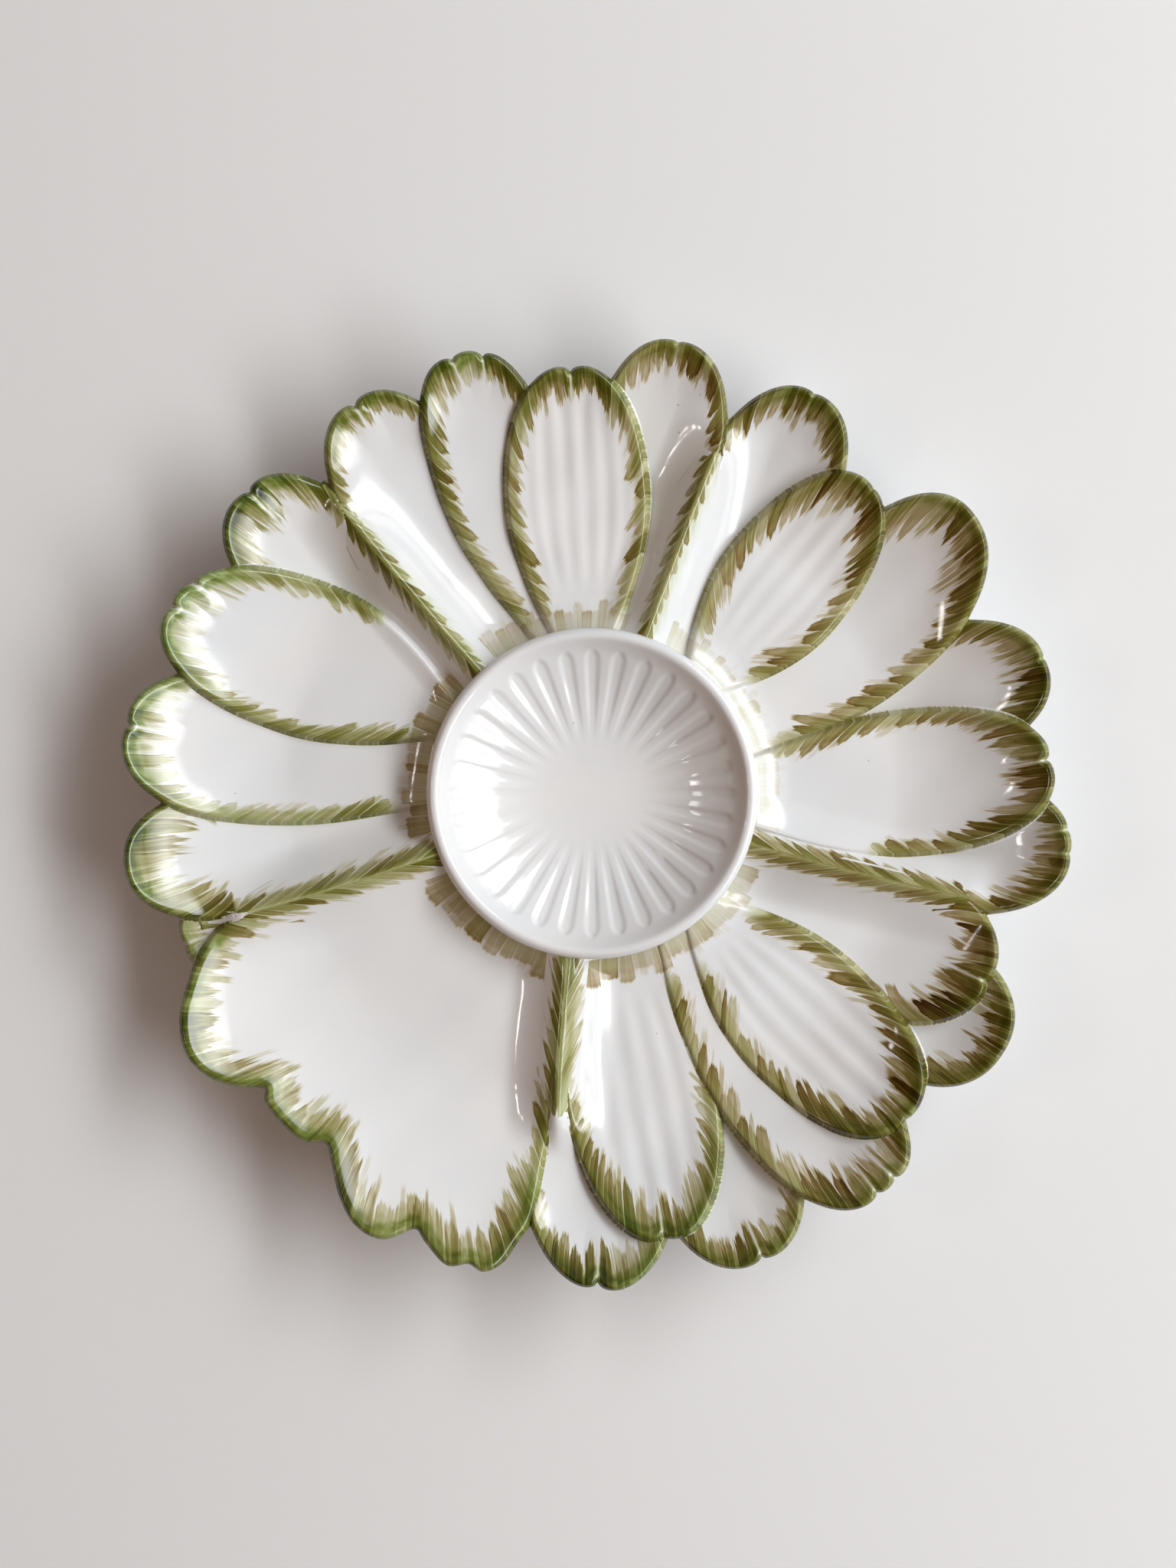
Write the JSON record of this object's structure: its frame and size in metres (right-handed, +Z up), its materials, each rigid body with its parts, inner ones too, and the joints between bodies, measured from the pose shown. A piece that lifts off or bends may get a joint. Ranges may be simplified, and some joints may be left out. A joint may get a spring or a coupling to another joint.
{
  "type": "artichoke plate",
  "caption": "Round glazed earthenware plate with a fluted centre well, dividing ribs, overlapping leaves and a large fan-shaped dip leaf.",
  "frame": {"origin": "centre of the plate's box in plan, on the plane it stands on", "axes": "+Z up out of the dish, +Y towards the top compartment of leaves, +X towards the right one; the well's axis is at X -0.8 mm, Y 5.6 mm"},
  "size_m": [0.2594, 0.2594, 0.031],
  "materials": {
    "white_glaze": "glossy white glaze",
    "painted_glaze": "glossy white glaze with green brush strokes along the edges",
    "foot_glaze": "white glaze, wiped bare where the ring stands"
  },
  "bodies": {
    "root": {"well_cup": "white_glaze", "foot_ring": "foot_glaze", "rib_upper_left": "painted_glaze", "rib_upper_right": "painted_glaze", "rib_right": "painted_glaze", "rib_lower": "painted_glaze", "rib_left": "painted_glaze", "dip_leaf": "painted_glaze", "dip_back_leaf": "painted_glaze", "leaf_top_1": "painted_glaze", "leaf_top_2": "painted_glaze", "leaf_top_3": "painted_glaze", "leaf_top_4": "painted_glaze", "leaf_right_1": "painted_glaze", "leaf_right_2": "painted_glaze", "leaf_right_3": "painted_glaze", "leaf_right_4": "painted_glaze", "leaf_right_5": "painted_glaze", "leaf_right_6": "painted_glaze", "leaf_lower_1": "painted_glaze", "leaf_lower_2": "painted_glaze", "leaf_lower_3": "painted_glaze", "leaf_lower_4": "painted_glaze", "leaf_lower_5": "painted_glaze", "leaf_lower_6": "painted_glaze", "leaf_lower_7": "painted_glaze", "leaf_left_1": "painted_glaze", "leaf_left_2": "painted_glaze", "leaf_left_3": "painted_glaze", "leaf_left_4": "painted_glaze"}
  },
  "joints": []
}
